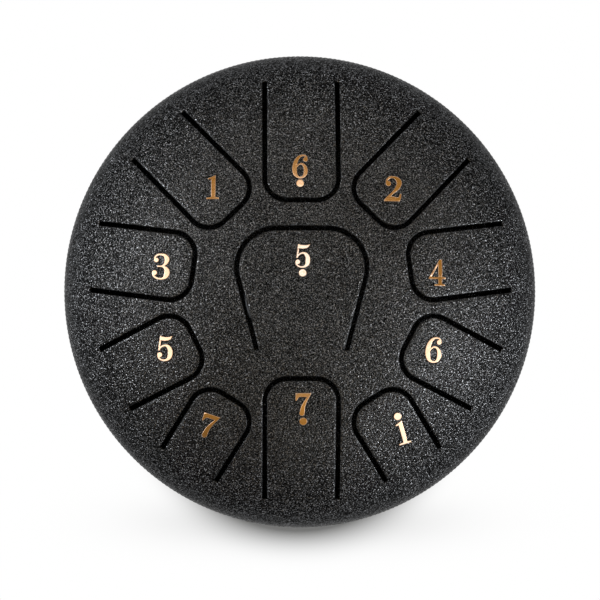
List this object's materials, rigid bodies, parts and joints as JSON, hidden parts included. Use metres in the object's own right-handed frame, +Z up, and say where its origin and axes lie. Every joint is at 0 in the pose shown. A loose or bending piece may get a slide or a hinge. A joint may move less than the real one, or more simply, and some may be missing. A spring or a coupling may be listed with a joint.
{
  "type": "steel tongue drum",
  "caption": "Round steel tongue drum of domed shells welded at the rim, with tuned tongues cut in the top by thin slots, gold note numerals, a sound hole below and rubber feet.",
  "frame": {"origin": "on the table under the drum axis, at the level of the feet", "axes": "+Z up along the drum axis, +Y from the player towards the low 6 tongue, +X to the player's right"},
  "size_m": [0.1524, 0.1524, 0.0876],
  "materials": {
    "coated_steel": "dark charcoal wrinkle powder coat",
    "gold_foil": "polished rose-gold metal transfer",
    "rubber": "matt black rubber",
    "magnet": "nickel-plated disc magnet"
  },
  "bodies": {
    "drum": {"top_shell": "coated_steel", "bottom_shell": "coated_steel", "seam_weld": "coated_steel", "foot_1": "rubber", "foot_2": "rubber", "foot_3": "rubber"},
    "low_5_blade": {"tongue_low_5": "coated_steel", "numeral_low_5": "gold_foil", "dot_low_5": "gold_foil"},
    "low_6_blade": {"tongue_low_6": "coated_steel", "numeral_low_6": "gold_foil", "dot_low_6": "gold_foil", "magnet_low_6": "magnet"},
    "low_7_blade": {"tongue_low_7": "coated_steel", "numeral_low_7": "gold_foil", "dot_low_7": "gold_foil"},
    "1_blade": {"tongue_1": "coated_steel", "numeral_1": "gold_foil", "magnet_1": "magnet"},
    "2_blade": {"tongue_2": "coated_steel", "numeral_2": "gold_foil"},
    "3_blade": {"tongue_3": "coated_steel", "numeral_3": "gold_foil", "magnet_3": "magnet"},
    "4_blade": {"tongue_4": "coated_steel", "numeral_4": "gold_foil"},
    "5_blade": {"tongue_5": "coated_steel", "numeral_5": "gold_foil", "magnet_5": "magnet"},
    "6_blade": {"tongue_6": "coated_steel", "numeral_6": "gold_foil"},
    "7_blade": {"tongue_7": "coated_steel", "numeral_7": "gold_foil", "magnet_7": "magnet"},
    "high_1_blade": {"tongue_high_1": "coated_steel", "numeral_high_1": "gold_foil", "dot_high_1": "gold_foil"}
  },
  "joints": [
    {"name": "low_5_flexure", "type": "hinge", "parent": "drum", "child": "low_5_blade", "pos_m": [0, -0.0189, 0.08443], "axis": [-1, 0, 0], "range_deg": [-1, 1], "stiffness_Nm_per_rad": 45.1},
    {"name": "low_6_flexure", "type": "hinge", "parent": "drum", "child": "low_6_blade", "pos_m": [0, 0.0661, 0.06424], "axis": [1, 0, 0], "range_deg": [-1, 1], "stiffness_Nm_per_rad": 52.4},
    {"name": "low_7_flexure", "type": "hinge", "parent": "drum", "child": "low_7_blade", "pos_m": [0, -0.0661, 0.06424], "axis": [-1, 0, 0], "range_deg": [-1, 1], "stiffness_Nm_per_rad": 60.8},
    {"name": "1_flexure", "type": "hinge", "parent": "drum", "child": "1_blade", "pos_m": [-0.04545, 0.04909, 0.06354], "axis": [0.7202, 0.6938, 0], "range_deg": [-1, 1], "stiffness_Nm_per_rad": 54.5},
    {"name": "2_flexure", "type": "hinge", "parent": "drum", "child": "2_blade", "pos_m": [0.04545, 0.04909, 0.06354], "axis": [0.7202, -0.6938, 0], "range_deg": [-1, 1], "stiffness_Nm_per_rad": 63},
    {"name": "3_flexure", "type": "hinge", "parent": "drum", "child": "3_blade", "pos_m": [-0.06523, 0.01068, 0.06424], "axis": [0.1334, 0.9911, 0], "range_deg": [-1, 1], "stiffness_Nm_per_rad": 60.5},
    {"name": "4_flexure", "type": "hinge", "parent": "drum", "child": "4_blade", "pos_m": [0.06523, 0.01068, 0.06424], "axis": [0.1334, -0.9911, 0], "range_deg": [-1, 1], "stiffness_Nm_per_rad": 64.6},
    {"name": "5_flexure", "type": "hinge", "parent": "drum", "child": "5_blade", "pos_m": [-0.0588, -0.02817, 0.06495], "axis": [-0.4553, 0.8903, 0], "range_deg": [-1, 1], "stiffness_Nm_per_rad": 63.5},
    {"name": "6_flexure", "type": "hinge", "parent": "drum", "child": "6_blade", "pos_m": [0.0588, -0.02817, 0.06495], "axis": [-0.4553, -0.8903, 0], "range_deg": [-1, 1], "stiffness_Nm_per_rad": 72.4},
    {"name": "7_flexure", "type": "hinge", "parent": "drum", "child": "7_blade", "pos_m": [-0.03544, -0.0552, 0.06464], "axis": [-0.8497, 0.5273, 0], "range_deg": [-1, 1], "stiffness_Nm_per_rad": 63},
    {"name": "high_1_flexure", "type": "hinge", "parent": "drum", "child": "high_1_blade", "pos_m": [0.03544, -0.0552, 0.06464], "axis": [-0.8497, -0.5273, 0], "range_deg": [-1, 1], "stiffness_Nm_per_rad": 66.3}
  ]
}
